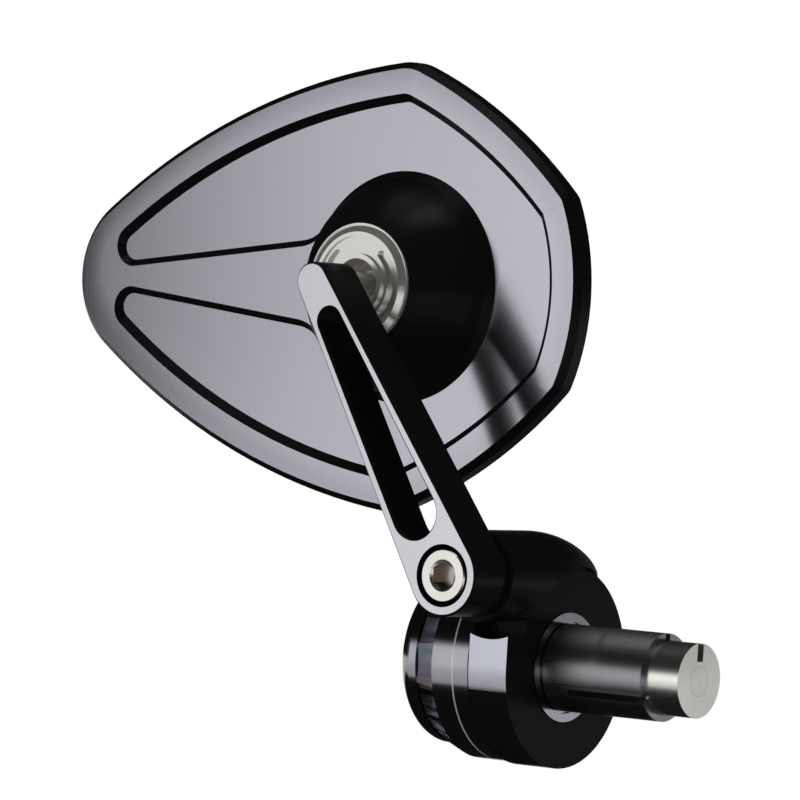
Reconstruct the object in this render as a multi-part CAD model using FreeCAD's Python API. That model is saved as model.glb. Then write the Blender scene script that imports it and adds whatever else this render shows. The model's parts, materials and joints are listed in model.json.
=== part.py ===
import FreeCAD, Part
import math
import os

# A bar-end mirror: a shield-shaped mirror head on a ball joint, a slotted arm, and a
# mounting ring that turns on a lit bar-end unit which plugs into a handlebar tube.
#
# Frame, in millimetres: X runs along the handlebar, +X into the bar; -Y faces the way the
# rider looks, so the head's back and the arm's face point along -Y; Z is up.
# The origin is on the bar's axis, on the shoulder that the end of the tube stops against.

# Handlebar tube that the plug goes into
tube_bore_radius = 9.0
plug_clearance = 0.2
plug_length = 24.0
root_relief_width = 0.5
root_undercut = 0.6
root_relief_depth = 0.5

# Bar-end unit, along X from the shoulder outwards
unit_radius = 20.0
spigot_radius = 11.0
collar_width = 3.85
collar_bevel = 0.3
trim_width = 0.4
signal_width = 4.9
lens_width = 5.9
disc_width = 4.7
disc_step = 2.4
disc_rounding = 3.0
disc_hub_radius = 6.0
lens_facets = 14
lens_turn_deg = -3.0
lens_wall = 3.6
lens_seal_width = 0.5
lens_seal_land = 0.5
lamp_well_depth = 3.4
board_thickness = 1.0
board_edge_gap = 0.2
lamp_count = 8
lamp_inset = 3.5
lamp_length = 3.5
lamp_width = 2.8
lamp_height = 1.2
lead_hole_radius = 0.9

# Plug: a slit sleeve, a cone that spreads it, and the bolt that pulls the cone
bolt_radius = 3.0
bolt_head_radius = 5.0
bolt_head_height = 6.0
bolt_hex_across = 5.0
bolt_hex_depth = 3.0
bolt_head_sink = 0.4
lead_passage_radius = 4.5
plug_slits = 3
slit_width = 1.5
slit_start = 6.0
cone_depth = 8.0
cone_mouth_radius = 7.5
cone_fit = 0.05
cone_tail = 8.0
cone_notch_width = 2.0
cone_notch_floor = 3.8

# Mounting ring and the boss that carries the arm's screw
ring_width = 9.2
ring_radius = 20.4
ring_side_gap = 0.3
ring_running_fit = 0.05
boss_radius = 9.1
boss_height = 18.0
boss_front = -14.4
boss_straight = 4.6
boss_nose_arc = 40.0
boss_nose_flat = 2.5
sleeve_length = 11.7
flat_relief_radius = 12.6
swing_clearance = 0.4
washer_thickness = 0.6
washer_radius = 7.6

# Arm
arm_length = 67.1
arm_lean_deg = 33.2
arm_thickness = 10.6
arm_foot_radius = 8.1
arm_top_radius = 3.9
arm_chamfer = 0.45
slot_foot_radius = 5.1
slot_foot_distance = 14.1
slot_top_radius = 2.65
slot_top_distance = 57.9
counterbore_radius = 6.2
counterbore_depth = 6.2
pivot_running_fit = 0.05

# Arm screw
screw_radius = 3.0
screw_length = 30.0
screw_head_radius = 5.3
screw_head_height = 6.0
screw_hex_across = 5.0
screw_hex_depth = 3.0
screw_edge = 0.3
socket_bevel_reach = 0.3
socket_bevel_slope = 0.5
thread_fit = 0.05
blind_end = 0.8

# Ball stud
ball_radius = 5.0
ball_to_arm = 12.1
neck_radius = 2.4
stud_radius = 2.0
stud_engagement = 7.0
stud_flange_radius = 3.2
stud_flange_thickness = 0.5
stud_washer_radius = 3.4
stud_washer_thickness = 0.4

# Seats round the ball, as bands of polar angle counted from the neck
liner_thickness = 1.12
liner_fit = 0.08
front_seat_from_deg = 50.0
front_seat_to_deg = 75.0
rear_seat_from_deg = 105.0
rear_seat_to_deg = 142.0

# Joint cap, screwed into the dome. Heights are measured from the ball's centre.
cap_radius = 12.35
cap_thread_radius = 9.5
cap_inner_end = 1.0
cap_lip_height = 7.43
cap_line_radius = 11.95
cap_line_width = 0.3
cap_line_depth = 0.3
cap_rim_radius = 10.6
cap_rim_width = 0.8
cap_rim_height = 8.1
cap_face_height = 7.6
cap_collar_radius = 6.2
cap_collar_height = 8.3
cap_mouth_radius = 5.2
cap_throat_radius = 4.4
cap_slot_radius = 8.2
cap_slot_width = 1.7
cap_slot_depth = 1.0
cap_slot_deg = 95.0

# Pressure pad and disc spring behind the ball
pad_gap = 0.2
pad_front = 1.2
pad_back = 5.5
spring_outer_radius = 7.0
spring_inner_radius = 3.5
spring_thickness = 0.4
spring_rise = 0.5

# Mirror head, seen along its own axis u (towards the blunt end) and v, from the ball
head_roll_deg = 0.8
tip_reach = 84.8
tip_radius = 18.0
side_radius = 155.0
shoulder_place = 0.9
shoulder_height = 46.05
shoulder_rounding = 11.0
flank_radius = 108.0
blunt_reach = 45.2
blunt_radius = 48.7
blunt_half_width = 19.4
blunt_rounding = 4.8
least_rounding = 1.6
head_back = 5.6
head_thickness = 4.5
head_chamfer = 1.4
rim_lip = 1.6
glass_thickness = 1.8
glass_edge_gap = 0.15
pad_tape_thickness = 0.4
pad_tape_inset = 2.0
glass_sink = 0.1

# Dome under the cap, and the pocket milled round it and the spoke, with sloping walls
dome_foot_radius = 22.0
dome_top_radius = 12.6
dome_top = 6.9
dome_bulge = 1.3
pocket_depth = 1.5
pocket_inset = 6.5
pocket_wall_run = 1.65
spoke_half_at_dome = 10.5
spoke_half_at_tip = 0.35
spoke_wall_run = 1.45
pocket_end_rounding = 4.4
pocket_flare_rounding = 9.0

# Places worked out from the sizes above
collar_inner = -(ring_width + 2 * ring_side_gap)
collar_outer = collar_inner - collar_width
trim_outer = collar_outer - trim_width
signal_outer = trim_outer - signal_width
lens_outer = signal_outer - lens_width
disc_outer = lens_outer - disc_width
ring_outer_face = collar_inner + ring_side_gap
ring_inner_face = -ring_side_gap
pivot_x = (ring_outer_face + ring_inner_face) / 2
sleeve_front = boss_front - sleeve_length
arm_back = sleeve_front - washer_thickness
arm_front = arm_back - arm_thickness
ball_y = arm_back + ball_to_arm
arm_lean = math.radians(arm_lean_deg)
ball_x = pivot_x - arm_length * math.sin(arm_lean)
ball_z = boss_height + arm_length * math.cos(arm_lean)
ball_place = FreeCAD.Vector(ball_x, ball_y, ball_z)
plug_radius = tube_bore_radius - plug_clearance
disc_radius = unit_radius - disc_step
lens_inner_radius = unit_radius * math.cos(math.pi / lens_facets) - lens_wall
lamp_well_radius = lens_inner_radius - lens_seal_land
lamp_circle_radius = lamp_well_radius - lamp_inset
liner_inner = ball_radius + liner_fit
liner_outer = liner_inner + liner_thickness
seat_radius = liner_outer + liner_fit
head_front = head_back + head_thickness
recess_floor = head_front - glass_sink - glass_thickness - pad_tape_thickness
well_floor = pad_back + spring_rise + spring_thickness

X = FreeCAD.Vector(1, 0, 0)
Y = FreeCAD.Vector(0, 1, 0)
Z = FreeCAD.Vector(0, 0, 1)
ORIGIN = FreeCAD.Vector(0, 0, 0)


def save(shape, name):
    shape.exportStep(os.path.join("parts", name + ".step"))


def rod(radius, start, end):
    """A cylinder from one point to another."""
    along = end - start
    return Part.makeCylinder(radius, along.Length, start, along)


def bar_rod(radius, start_x, end_x):
    """A cylinder on the bar's axis."""
    return rod(radius, X * start_x, X * end_x)


def pivot_rod(radius, start_y, end_y):
    """A cylinder on the arm screw's axis."""
    start = FreeCAD.Vector(pivot_x, start_y, boss_height)
    end = FreeCAD.Vector(pivot_x, end_y, boss_height)
    return rod(radius, start, end)


def turned(points):
    """A closed profile of (radius, y) points turned about the Y axis."""
    corners = [FreeCAD.Vector(radius, y, 0) for radius, y in points]
    outline = Part.makePolygon(corners + corners[:1])
    return Part.Face(outline).revolve(ORIGIN, Y, 360)


def hexagon_hole(across, depth, mouth, inward):
    """A hexagon socket cut from its mouth along a direction."""
    side = FreeCAD.Rotation(Z, inward)
    corners = []
    for corner in range(7):
        angle = math.radians(60 * corner + 30)
        reach = across / math.sqrt(3)
        corners.append(mouth + side.multVec(FreeCAD.Vector(math.cos(angle), math.sin(angle), 0)) * reach)
    return Part.Face(Part.makePolygon(corners)).extrude(inward * depth)


def socket_bevel(across, mouth, inward):
    """The cone that opens the mouth of a hexagon socket."""
    wide = across / math.sqrt(3) + socket_bevel_reach
    narrow = across / 2
    return Part.makeCone(wide, narrow, (wide - narrow) * socket_bevel_slope, mouth, inward)


def socket_screw(seat, inward, head_radius, head_height, hex_across, hex_depth, radius, length):
    """A socket-head screw whose head stands on its seat, with a bevelled rim."""
    top = seat - inward * head_height
    head = Part.makeCylinder(head_radius, head_height, top, inward)
    rim = [edge for edge in head.Edges if edge.Closed and (edge.CenterOfMass - top).Length < 0.01]
    head = head.makeChamfer(screw_edge, rim)
    screw = head.fuse(rod(radius, seat, seat + inward * length))
    screw = screw.cut(hexagon_hole(hex_across, hex_depth, top, inward))
    return screw.cut(socket_bevel(hex_across, top, inward)).removeSplitter()


def unit_body():
    """Collar and spigot in one: the ring turns on the spigot, the tube stops on its end.
    A relief round the plug's root keeps the tube's inner edge clear."""
    collar = bar_rod(unit_radius, collar_outer, collar_inner)
    rim = [edge for edge in collar.Edges if edge.Closed and edge.CenterOfMass.x > collar_inner - 0.01]
    collar = collar.makeChamfer(collar_bevel, rim)
    body = collar.fuse(bar_rod(spigot_radius, collar_inner, 0)).removeSplitter()
    relief = bar_rod(plug_radius + root_relief_width, -root_relief_depth, 0)
    relief = relief.cut(bar_rod(plug_radius - root_undercut, -root_relief_depth, 0))
    return body.cut(relief).cut(bar_rod(lead_passage_radius, collar_outer, 0))


def trim_ring():
    ring = bar_rod(unit_radius, trim_outer, collar_outer)
    return ring.cut(bar_rod(lead_passage_radius, trim_outer, collar_outer))


def signal_head():
    """Lamp body with a ring-shaped well for the board and a hub with the lead's way in."""
    head = bar_rod(unit_radius, signal_outer, trim_outer)
    well = bar_rod(lamp_well_radius, signal_outer, signal_outer + lamp_well_depth)
    well = well.cut(bar_rod(disc_hub_radius, signal_outer, signal_outer + lamp_well_depth))
    head = head.cut(well).cut(bar_rod(lead_passage_radius, signal_outer, trim_outer))
    lead_x = signal_outer + (lamp_well_depth - board_thickness) / 2
    lead_start = FreeCAD.Vector(lead_x, 0, 0)
    return head.cut(rod(lead_hole_radius, lead_start, lead_start - Z * (disc_hub_radius + board_edge_gap)))


def lamp_board():
    floor = signal_outer + lamp_well_depth
    board = bar_rod(lamp_well_radius - board_edge_gap, floor - board_thickness, floor)
    return board.cut(bar_rod(disc_hub_radius + board_edge_gap, floor - board_thickness, floor))


def lamps():
    """Square emitters spaced round the board."""
    face = signal_outer + lamp_well_depth - board_thickness
    corner = FreeCAD.Vector(face - lamp_height, -lamp_length / 2, lamp_circle_radius - lamp_width / 2)
    pieces = []
    for turn in range(lamp_count):
        lamp = Part.makeBox(lamp_height, lamp_length, lamp_width, corner)
        lamp.rotate(ORIGIN, X, 360 * turn / lamp_count)
        pieces.append(lamp)
    return Part.makeCompound(pieces)


def lens_seal():
    """Flat seal let into the lens's rear face, inside its wall."""
    seal = bar_rod(lens_inner_radius, signal_outer - lens_seal_width, signal_outer)
    return seal.cut(bar_rod(lamp_well_radius - lens_seal_width, signal_outer - lens_seal_width, signal_outer))


def facet_ring(radius, x):
    corners = []
    for corner in range(lens_facets + 1):
        angle = 2 * math.pi * (corner + 0.5) / lens_facets + math.radians(lens_turn_deg)
        corners.append(FreeCAD.Vector(x, -radius * math.cos(angle), radius * math.sin(angle)))
    return Part.makePolygon(corners)


def signal_lens():
    """Clear ring with flat facets that narrow towards the end disc."""
    lens = Part.makeLoft([facet_ring(disc_radius, lens_outer), facet_ring(unit_radius, signal_outer)], True, True)
    return lens.cut(bar_rod(lens_inner_radius, lens_outer, signal_outer))


def end_disc():
    """Closing disc with a rounded rim; its hub reaches through the lens to the lamp body."""
    disc = bar_rod(disc_radius, disc_outer, lens_outer)
    rim = [edge for edge in disc.Edges if edge.Closed and edge.CenterOfMass.x < disc_outer + 0.01]
    disc = disc.makeFillet(disc_rounding, rim)
    disc = disc.fuse(bar_rod(disc_hub_radius, lens_outer, signal_outer)).removeSplitter()
    seat = disc_outer + bolt_head_sink + bolt_head_height
    disc = disc.cut(bar_rod(bolt_head_radius + board_edge_gap, disc_outer, seat))
    return disc.cut(bar_rod(bolt_radius + thread_fit, seat, signal_outer))


def plug_bolt():
    seat = disc_outer + bolt_head_sink + bolt_head_height
    length = plug_length + cone_tail - seat
    return socket_screw(X * seat, X, bolt_head_radius, bolt_head_height, bolt_hex_across, bolt_hex_depth,
                        bolt_radius, length)


def cone_radius_at(x):
    """Radius of the plug's inner taper at a place along the bar."""
    share = (x - (plug_length - cone_depth)) / cone_depth
    return lead_passage_radius + share * (cone_mouth_radius - lead_passage_radius)


def plug_sleeve():
    sleeve = bar_rod(plug_radius, 0, plug_length).cut(bar_rod(lead_passage_radius, 0, plug_length))
    taper_start = plug_length - cone_depth
    taper = Part.makeCone(lead_passage_radius, cone_mouth_radius, cone_depth, X * taper_start, X)
    sleeve = sleeve.cut(taper)
    slit_corner = FreeCAD.Vector(slit_start, -slit_width / 2, 0)
    for turn in range(plug_slits):
        slit = Part.makeBox(plug_length, slit_width, plug_radius * 2, slit_corner)
        slit.rotate(ORIGIN, X, 360 * turn / plug_slits)
        sleeve = sleeve.cut(slit)
    return sleeve


def plug_cone():
    """Cone nut with a notch that lets the lead past."""
    start = plug_length - cone_depth
    end = plug_length
    cone = Part.makeCone(cone_radius_at(start) - cone_fit, cone_radius_at(end) - cone_fit, cone_depth, X * start, X)
    cone = cone.fuse(bar_rod(cone_mouth_radius - cone_fit, end, end + cone_tail)).removeSplitter()
    cone = cone.cut(bar_rod(bolt_radius + thread_fit, start, end + cone_tail))
    notch_corner = FreeCAD.Vector(start, -cone_notch_width / 2, cone_notch_floor)
    return cone.cut(Part.makeBox(cone_depth + cone_tail, cone_notch_width, cone_mouth_radius, notch_corner))


def neighbours():
    """The room that the bar-end unit and a grip take up on either side of the ring."""
    reach = 2 * boss_radius
    outboard = bar_rod(unit_radius + swing_clearance, ring_outer_face - reach, ring_outer_face)
    inboard = bar_rod(unit_radius + swing_clearance, ring_inner_face, ring_inner_face + reach)
    return outboard.fuse(inboard)


def ring_boss():
    """Round boss along the arm screw's axis, with a bullet-shaped rear end."""
    nose_start = boss_front + boss_straight
    drop = boss_radius - boss_nose_flat
    nose_length = math.sqrt(boss_nose_arc ** 2 - (boss_nose_arc - drop) ** 2)
    half_drop = boss_nose_arc - math.sqrt(boss_nose_arc ** 2 - (nose_length / 2) ** 2)
    corners = [
        FreeCAD.Vector(0, boss_front, 0),
        FreeCAD.Vector(boss_radius, boss_front, 0),
        FreeCAD.Vector(boss_radius, nose_start, 0),
        FreeCAD.Vector(boss_nose_flat, nose_start + nose_length, 0),
        FreeCAD.Vector(0, nose_start + nose_length, 0),
    ]
    nose_middle = FreeCAD.Vector(boss_radius - half_drop, nose_start + nose_length / 2, 0)
    edges = [Part.makeLine(first, last) for first, last in zip(corners, corners[1:] + corners[:1])]
    edges[2] = Part.Arc(corners[2], nose_middle, corners[3]).toShape()
    boss = Part.Face(Part.Wire(edges)).revolve(ORIGIN, Y, 360)
    boss.translate(FreeCAD.Vector(pivot_x, 0, boss_height))
    return boss


def mount_ring():
    """Ring with a flat front and a round boss across its top."""
    ring = bar_rod(ring_radius, ring_outer_face, ring_inner_face)
    flat_corner = FreeCAD.Vector(ring_outer_face, -ring_radius, 0)
    front = ring.fuse(Part.makeBox(ring_width, ring_radius, boss_height, flat_corner))
    front = front.cut(pivot_rod(flat_relief_radius, -ring_radius, boss_front))
    body = front.fuse(ring_boss().cut(neighbours())).removeSplitter()
    body = body.cut(bar_rod(spigot_radius + ring_running_fit, ring_outer_face, ring_inner_face))
    thread_end = screw_seat() + screw_length + blind_end
    return body.cut(pivot_rod(screw_radius + thread_fit, boss_front, thread_end))


def pivot_sleeve():
    sleeve = pivot_rod(boss_radius, sleeve_front, boss_front).cut(neighbours())
    return sleeve.cut(pivot_rod(screw_radius + thread_fit, sleeve_front, boss_front))


def pivot_washer():
    washer = pivot_rod(washer_radius, arm_back, sleeve_front)
    return washer.cut(pivot_rod(screw_radius + pivot_running_fit, arm_back, sleeve_front))


def screw_seat():
    return arm_front + counterbore_depth


def arm_screw():
    seat = FreeCAD.Vector(pivot_x, screw_seat(), boss_height)
    return socket_screw(seat, Y, screw_head_radius, screw_head_height, screw_hex_across, screw_hex_depth,
                        screw_radius, screw_length)


def arm_point(distance, across):
    """A point on the arm's front face: distance from the screw, across to its right."""
    along = FreeCAD.Vector(-math.sin(arm_lean), 0, math.cos(arm_lean))
    right = FreeCAD.Vector(math.cos(arm_lean), 0, math.sin(arm_lean))
    return FreeCAD.Vector(pivot_x, arm_front, boss_height) + along * distance + right * across


def tapered_link(foot_distance, foot_radius, top_distance, top_radius):
    """A bar with two round ends and straight tangent sides, through the arm's thickness."""
    slope = math.asin((foot_radius - top_radius) / (top_distance - foot_distance))

    def rim(distance, radius, side):
        return arm_point(distance + radius * math.sin(slope), side * radius * math.cos(slope))

    foot_right = rim(foot_distance, foot_radius, 1)
    foot_left = rim(foot_distance, foot_radius, -1)
    top_right = rim(top_distance, top_radius, 1)
    top_left = rim(top_distance, top_radius, -1)
    edges = [
        Part.Arc(foot_left, arm_point(foot_distance - foot_radius, 0), foot_right).toShape(),
        Part.makeLine(foot_right, top_right),
        Part.Arc(top_right, arm_point(top_distance + top_radius, 0), top_left).toShape(),
        Part.makeLine(top_left, foot_left),
    ]
    return Part.Face(Part.Wire(edges)).extrude(Y * arm_thickness)


def face_edges(shape, y):
    """Edges that lie in one plane across Y."""
    return [edge for edge in shape.Edges if abs(edge.BoundBox.YMin - y) < 0.001 and edge.BoundBox.YLength < 0.001]


def mirror_arm():
    arm = tapered_link(0, arm_foot_radius, arm_length, arm_top_radius)
    arm = arm.cut(tapered_link(slot_foot_distance, slot_foot_radius, slot_top_distance, slot_top_radius))
    arm = arm.makeChamfer(arm_chamfer, face_edges(arm, arm_front) + face_edges(arm, arm_back))
    arm = arm.cut(pivot_rod(counterbore_radius, arm_front, screw_seat()))
    arm = arm.cut(pivot_rod(screw_radius + pivot_running_fit, screw_seat(), arm_back))
    hole_start = ball_place - Y * ball_to_arm
    return arm.cut(rod(stud_radius + thread_fit, hole_start, hole_start - Y * (stud_engagement + blind_end)))


def at_ball(shape):
    shape.translate(ball_place)
    return shape


def in_head(shape):
    """Places a head piece modelled round the ball's centre, with the head's roll."""
    shape.rotate(ORIGIN, Y, -head_roll_deg)
    return at_ball(shape)


def ball_stud():
    """Ball, neck, flange and threaded end in one piece."""
    flange_top = -ball_to_arm + stud_washer_thickness + stud_flange_thickness
    flange_foot = -ball_to_arm + stud_washer_thickness
    stud = Part.makeSphere(ball_radius)
    stud = stud.fuse(rod(neck_radius, ORIGIN, Y * flange_top))
    stud = stud.fuse(rod(stud_flange_radius, Y * flange_top, Y * flange_foot))
    stud = stud.fuse(rod(stud_radius, Y * flange_foot, Y * -(ball_to_arm + stud_engagement)))
    return at_ball(stud.removeSplitter())


def stud_washer():
    washer = rod(stud_washer_radius, Y * -ball_to_arm, Y * (stud_washer_thickness - ball_to_arm))
    hole = rod(stud_radius + thread_fit, Y * -ball_to_arm, Y * (stud_washer_thickness - ball_to_arm))
    return at_ball(washer.cut(hole))


def on_sphere(radius, polar_deg):
    polar = math.radians(polar_deg)
    return FreeCAD.Vector(radius * math.sin(polar), -radius * math.cos(polar), 0)


def ball_seat(from_deg, to_deg):
    """A band of a spherical shell round the ball."""
    middle = (from_deg + to_deg) / 2
    inner = [on_sphere(liner_inner, polar) for polar in (from_deg, middle, to_deg)]
    outer = [on_sphere(liner_outer, polar) for polar in (from_deg, middle, to_deg)]
    edges = [
        Part.Arc(*inner).toShape(),
        Part.makeLine(inner[2], outer[2]),
        Part.Arc(*outer).toShape(),
        Part.makeLine(outer[0], inner[0]),
    ]
    outline = Part.Wire(Part.__sortEdges__(edges))
    return at_ball(Part.Face(outline).revolve(ORIGIN, Y, 360))


def joint_cap():
    """Cap that screws into the dome: raised rim and collar, and two curved key slots in its face."""
    line_outer = cap_line_radius + cap_line_width / 2
    line_inner = cap_line_radius - cap_line_width / 2
    cap = turned([
        (0, -cap_collar_height),
        (cap_collar_radius, -cap_collar_height),
        (cap_collar_radius, -cap_face_height),
        (cap_rim_radius - cap_rim_width, -cap_face_height),
        (cap_rim_radius - cap_rim_width, -cap_rim_height),
        (cap_rim_radius, -cap_rim_height),
        (line_inner, -cap_lip_height),
        (line_inner, cap_line_depth - cap_lip_height),
        (line_outer, cap_line_depth - cap_lip_height),
        (line_outer, -cap_lip_height),
        (cap_radius, -cap_lip_height),
        (cap_radius, -dome_top),
        (cap_thread_radius - thread_fit, -dome_top),
        (cap_thread_radius - thread_fit, -cap_inner_end),
        (0, -cap_inner_end),
    ])
    cap = cap.cut(Part.makeSphere(seat_radius))
    throat = math.sqrt(seat_radius ** 2 - cap_throat_radius ** 2)
    mouth = turned([
        (0, -throat),
        (cap_throat_radius, -throat),
        (cap_mouth_radius, -cap_collar_height),
        (0, -cap_collar_height),
    ])
    cap = cap.cut(mouth)
    for start in (-cap_slot_deg / 2, 180 - cap_slot_deg / 2):
        cap = cap.cut(key_slot(start))
    return in_head(cap)


def key_slot(start_deg):
    """A curved slot in the cap's face, with round ends, for a pin spanner."""
    half = cap_slot_width / 2
    floor = cap_slot_depth - cap_face_height
    band = turned_arc(cap_slot_radius - half, cap_slot_radius + half, floor, start_deg)
    ends = []
    for angle in (start_deg, start_deg + cap_slot_deg):
        place = FreeCAD.Vector(math.cos(math.radians(angle)), 0, math.sin(math.radians(angle))) * cap_slot_radius
        ends.append(rod(half, place + Y * floor, place - Y * cap_face_height))
    return band.fuse(ends)


def turned_arc(inner, outer, floor, start_deg):
    corners = [
        FreeCAD.Vector(inner, floor, 0),
        FreeCAD.Vector(outer, floor, 0),
        FreeCAD.Vector(outer, -cap_face_height, 0),
        FreeCAD.Vector(inner, -cap_face_height, 0),
    ]
    face = Part.Face(Part.makePolygon(corners + corners[:1]))
    face.rotate(ORIGIN, Y, -start_deg)
    return face.revolve(ORIGIN, Y, -cap_slot_deg)


def pressure_pad():
    """Pad with a hollow seat that presses the rear liner on the ball."""
    pad = rod(cap_thread_radius - pad_gap, Y * pad_front, Y * pad_back)
    return in_head(pad.cut(Part.makeSphere(seat_radius)))


def disc_spring():
    """Coned washer between the pad and the floor of the dome's well."""
    high = pad_back
    low = pad_back + spring_rise
    return in_head(turned([
        (spring_inner_radius, high),
        (spring_outer_radius, low),
        (spring_outer_radius, low + spring_thickness),
        (spring_inner_radius, high + spring_thickness),
    ]))


def circles_meet(centre_a, radius_a, centre_b, radius_b):
    """Both crossing points of two circles; points are complex numbers u + v j."""
    step = centre_b - centre_a
    gap = abs(step)
    along = (gap ** 2 + radius_a ** 2 - radius_b ** 2) / (2 * gap)
    across = math.sqrt(radius_a ** 2 - along ** 2)
    return [centre_a + step / gap * complex(along, side * across) for side in (-1, 1)]


def lower(points):
    return min(points, key=lambda point: point.imag)


def nearest(points, place):
    return min(points, key=lambda point: abs(point - place))


def head_circles():
    """Centres of the four circles that make the upper half of the head's outline."""
    tip = complex(tip_radius - tip_reach, 0)
    shoulder = complex(shoulder_place, shoulder_height)
    side = lower(circles_meet(shoulder, side_radius, tip, side_radius - tip_radius))
    blunt = complex(blunt_reach - blunt_radius, 0)
    blunt_corner = blunt + complex(math.sqrt(blunt_radius ** 2 - blunt_half_width ** 2), blunt_half_width)
    flank = lower(circles_meet(shoulder, flank_radius, blunt_corner, flank_radius))
    return tip, side, flank, blunt, shoulder, blunt_corner


def toward(centre, place, radius):
    return centre + (place - centre) / abs(place - centre) * radius


def plane_arc(centre, start, end, y):
    """The short arc between two points round a centre, in a plane across Y."""
    middle = toward(centre, (start + end) / 2, abs(start - centre))
    return Part.Arc(*[FreeCAD.Vector(point.real, y, point.imag) for point in (start, middle, end)]).toShape()


def pointed_end(inset):
    """Where the two long sides of the outline, moved inwards, meet on the head's axis."""
    side = head_circles()[1]
    return complex(side.real - math.sqrt((side_radius - inset) ** 2 - side.imag ** 2), 0)


def head_outline(inset, y, pointed=False):
    """The head's outline moved inwards, as a closed wire of tangent arcs.
    A pointed one has no round tip: its two long sides run on until they meet."""
    tip, side, flank, blunt, shoulder, blunt_corner = head_circles()
    side_r = side_radius - inset
    flank_r = flank_radius - inset
    blunt_r = blunt_radius - inset
    round_a = max(shoulder_rounding - inset, least_rounding)
    round_b = max(blunt_rounding - inset, least_rounding)
    corner_a = nearest(circles_meet(side, side_r - round_a, flank, flank_r - round_a), shoulder)
    corner_b = nearest(circles_meet(flank, flank_r - round_b, blunt, blunt_r - round_b), blunt_corner)
    start = toward(side, tip, side_r)
    if pointed:
        start = pointed_end(inset)
    steps = [
        (side, start, toward(side, corner_a, side_r)),
        (corner_a, toward(side, corner_a, side_r), toward(flank, corner_a, flank_r)),
        (flank, toward(flank, corner_a, flank_r), toward(flank, corner_b, flank_r)),
        (corner_b, toward(flank, corner_b, flank_r), toward(blunt, corner_b, blunt_r)),
    ]
    upper = [plane_arc(centre, first, last, y) for centre, first, last in steps]
    mirrored = [(c.conjugate(), b.conjugate(), a.conjugate()) for c, a, b in reversed(steps)]
    below = [plane_arc(centre, first, last, y) for centre, first, last in mirrored]
    blunt_start = steps[-1][2]
    nose = plane_arc(blunt, blunt_start, blunt_start.conjugate(), y)
    if pointed:
        return Part.Wire(upper + [nose] + below)
    tail_middle = FreeCAD.Vector(inset - tip_reach, y, 0)
    tail_ends = [FreeCAD.Vector(start.real, y, v) for v in (-start.imag, start.imag)]
    tail = Part.Arc(tail_ends[0], tail_middle, tail_ends[1]).toShape()
    return Part.Wire(upper + [nose] + below + [tail])


def head_prism(inset, start_y, depth):
    return Part.Face(head_outline(inset, start_y)).extrude(Y * depth)


def spoke(widen):
    """The wedge that joins the dome to the outer band at the tip."""
    near = spoke_half_at_dome + widen
    far = spoke_half_at_tip + widen
    end = pointed_end(pocket_inset).real
    beyond = end - dome_foot_radius
    corners = [
        FreeCAD.Vector(0, head_back, -near),
        FreeCAD.Vector(end, head_back, -far),
        FreeCAD.Vector(beyond, head_back, -far),
        FreeCAD.Vector(beyond, head_back, far),
        FreeCAD.Vector(end, head_back, far),
        FreeCAD.Vector(0, head_back, near),
    ]
    return Part.Face(Part.makePolygon(corners + corners[:1])).extrude(Y * pocket_depth)


def field(inset, dome_radius, spoke_widen, end_rounding, flare_rounding):
    """The C-shaped field between the outer band, the spoke and the dome, with rounded ends."""
    island = Part.Face(head_outline(inset, head_back, pointed=True)).extrude(Y * pocket_depth)
    island = island.cut(rod(dome_radius, Y * head_back, Y * (head_back + pocket_depth)))
    island = island.cut(spoke(spoke_widen))
    upright = [edge for edge in island.Edges if edge.BoundBox.XLength + edge.BoundBox.ZLength < 0.001]
    for side in (-1, 1):
        here = [edge for edge in upright if edge.CenterOfMass.z * side > 0]
        end = min(here, key=lambda edge: edge.CenterOfMass.x)
        flare_place = FreeCAD.Vector(-dome_radius, 0, side * spoke_half_at_dome)
        flare = min(here, key=lambda edge: (edge.CenterOfMass - flare_place).Length)
        island = island.makeFillet(end_rounding, [end])
        upright_now = [edge for edge in island.Edges if edge.BoundBox.XLength + edge.BoundBox.ZLength < 0.001]
        flare = min(upright_now, key=lambda edge: (edge.CenterOfMass - flare.CenterOfMass).Length)
        island = island.makeFillet(flare_rounding, [flare])
        upright = [edge for edge in island.Edges if edge.BoundBox.XLength + edge.BoundBox.ZLength < 0.001]
    return island


def rim_at(shape, y):
    """The edge of a shape's flat face in one plane across Y."""
    flat = [face for face in shape.Faces if face.BoundBox.YLength < 0.001 and abs(face.CenterOfMass.y - y) < 0.001]
    return flat[0].OuterWire


def pocket():
    """The milled pocket: its mouth in the back face, and a smaller floor inside sloping walls."""
    mouth = field(pocket_inset, dome_foot_radius, 0, pocket_end_rounding, pocket_flare_rounding)
    floor = field(pocket_inset + pocket_wall_run, dome_foot_radius + pocket_wall_run, spoke_wall_run,
                  pocket_end_rounding - pocket_wall_run, pocket_flare_rounding - spoke_wall_run)
    return Part.makeLoft([rim_at(mouth, head_back), rim_at(floor, head_back + pocket_depth)], True, True)


def dome():
    """Round, slightly bulging cone that carries the ball joint."""
    foot = FreeCAD.Vector(dome_foot_radius, head_back, 0)
    top = FreeCAD.Vector(dome_top_radius, -dome_top, 0)
    across = (top - foot).cross(Z)
    middle = (foot + top) / 2 + across.normalize() * dome_bulge * (1 if across.x > 0 else -1)
    base = FreeCAD.Vector(0, recess_floor, 0)
    edges = [
        Part.makeLine(base, FreeCAD.Vector(dome_foot_radius, recess_floor, 0)),
        Part.makeLine(FreeCAD.Vector(dome_foot_radius, recess_floor, 0), foot),
        Part.Arc(foot, middle, top).toShape(),
        Part.makeLine(top, FreeCAD.Vector(0, -dome_top, 0)),
        Part.makeLine(FreeCAD.Vector(0, -dome_top, 0), base),
    ]
    return Part.Face(Part.Wire(edges)).revolve(ORIGIN, Y, 360)


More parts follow.
